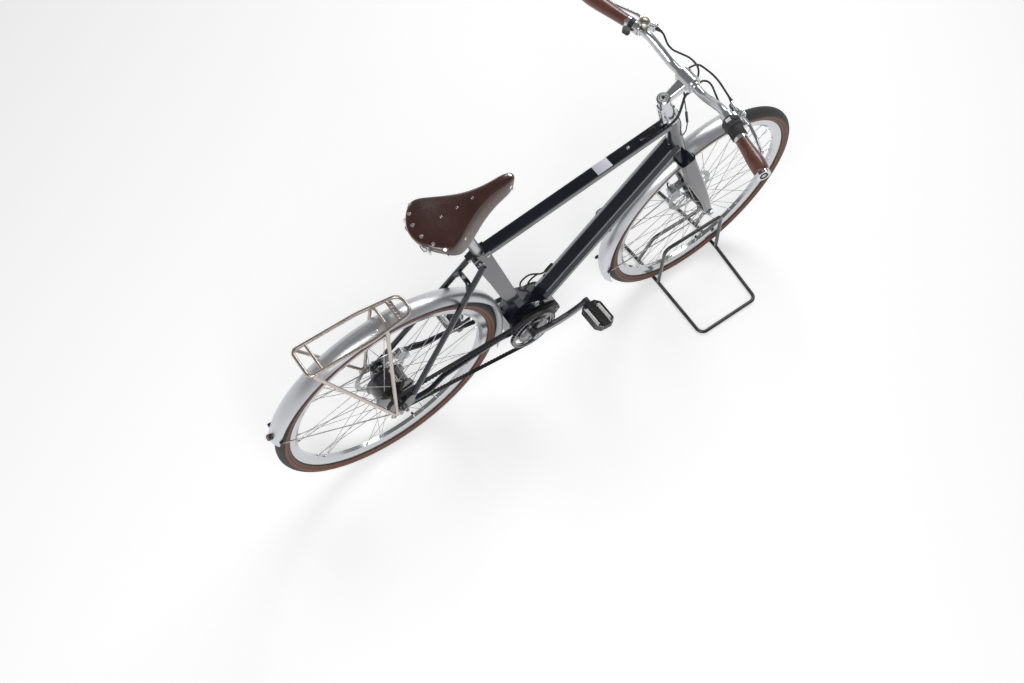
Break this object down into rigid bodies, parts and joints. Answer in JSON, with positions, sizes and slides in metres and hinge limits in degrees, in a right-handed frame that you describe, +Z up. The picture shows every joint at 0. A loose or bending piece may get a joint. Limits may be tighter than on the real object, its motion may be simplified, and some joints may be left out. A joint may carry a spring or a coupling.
{
  "type": "electric bicycle",
  "caption": "City bicycle with a closed drive unit at the cranks, belt drive, metal fenders, rear rack and leather saddle, its front wheel held in a bent-rod floor stand.",
  "frame": {"origin": "on the floor, midway between the two wheels' axles, in the frame's middle plane", "axes": "+X towards the front wheel, +Y to the rider's left, +Z up"},
  "size_m": [1.8184, 0.6798, 1.0876],
  "materials": {
    "tyre_rubber": "matt tread, red-brown side walls",
    "polished_alloy": "polished",
    "satin_alloy": "satin",
    "steel_wire": "bright",
    "dark_hub": "gloss black",
    "black_alloy": "satin black",
    "belt_rubber": "matt",
    "black_plastic": "matt",
    "frame_paint": "gloss dark blue-grey",
    "clamp_black": "satin black",
    "stand_black": "satin black",
    "rack_steel": "satin",
    "chrome_trim": "bright",
    "saddle_leather": "polished dark red-brown",
    "grip_leather": "worn brown",
    "hose_black": "satin"
  },
  "bodies": {
    "front_assembly": {"fork": "frame_paint", "front_axle": "steel_wire", "front_brake_caliper": "satin_alloy", "front_fender": "satin_alloy", "front_fender_stays": "steel_wire", "wheel_stand": "stand_black", "stem_body": "polished_alloy", "stem_extension": "polished_alloy", "handlebar": "polished_alloy", "grip_left": "grip_leather", "grip_right": "grip_leather", "grip_rings": "chrome_trim", "twist_shifter": "black_plastic", "brake_lever_left": "polished_alloy", "brake_lever_right": "polished_alloy", "bell": "chrome_trim", "thumb_remote": "black_plastic", "front_brake_hose": "hose_black", "bar_cables": "hose_black"},
    "front_wheel": {"front_tyre": "tyre_rubber", "front_rim": "polished_alloy", "front_spokes": "steel_wire", "front_hub": "polished_alloy", "front_brake_disc": "steel_wire"},
    "frame": {"head_tube": "frame_paint", "top_tube": "frame_paint", "down_tube": "frame_paint", "seat_tube": "frame_paint", "drive_cradle": "frame_paint", "drive_motor": "frame_paint", "chainstays": "frame_paint", "rear_ends": "frame_paint", "seatstays": "frame_paint", "seat_clamp": "clamp_black", "seat_post": "polished_alloy", "saddle_rails": "chrome_trim", "saddle": "saddle_leather", "rear_fender": "satin_alloy", "rear_fender_stays": "steel_wire", "rear_light": "black_plastic", "rear_rack": "rack_steel", "rear_axle": "steel_wire", "rear_brake_caliper": "satin_alloy", "belt": "belt_rubber", "frame_cables": "hose_black", "rear_brake_hose": "hose_black"},
    "rear_wheel": {"rear_tyre": "tyre_rubber", "rear_rim": "polished_alloy", "rear_spokes": "steel_wire", "rear_hub": "dark_hub", "rear_brake_disc": "steel_wire", "rear_sprocket": "black_alloy"},
    "cranks": {"crank_arms": "black_alloy", "chainring": "black_alloy"},
    "pedal_right": {"pedal_right": "black_plastic"},
    "pedal_left": {"pedal_left": "black_plastic"}
  },
  "joints": [
    {"name": "steering", "type": "hinge", "parent": "front_assembly", "child": "frame", "pos_m": [0.51954, 0, 0.34015], "axis": [-0.3338, 0, 0.9426], "range_deg": [-45, 45]},
    {"name": "front_wheel_spin", "type": "hinge", "parent": "front_assembly", "child": "front_wheel", "pos_m": [0.553, 0, 0.352], "axis": [0, 1, 0], "continuous": true},
    {"name": "rear_wheel_spin", "type": "hinge", "parent": "frame", "child": "rear_wheel", "pos_m": [-0.553, 0, 0.352], "axis": [0, 1, 0], "continuous": true},
    {"name": "crank_spin", "type": "hinge", "parent": "frame", "child": "cranks", "pos_m": [-0.107, 0, 0.297], "axis": [0, 1, 0], "continuous": true},
    {"name": "pedal_right_spin", "type": "hinge", "parent": "cranks", "child": "pedal_right", "pos_m": [0.03717, -0.12, 0.38709], "axis": [0, 1, 0], "continuous": true},
    {"name": "pedal_left_spin", "type": "hinge", "parent": "cranks", "child": "pedal_left", "pos_m": [-0.25117, 0.12, 0.20691], "axis": [0, 1, 0], "continuous": true}
  ]
}
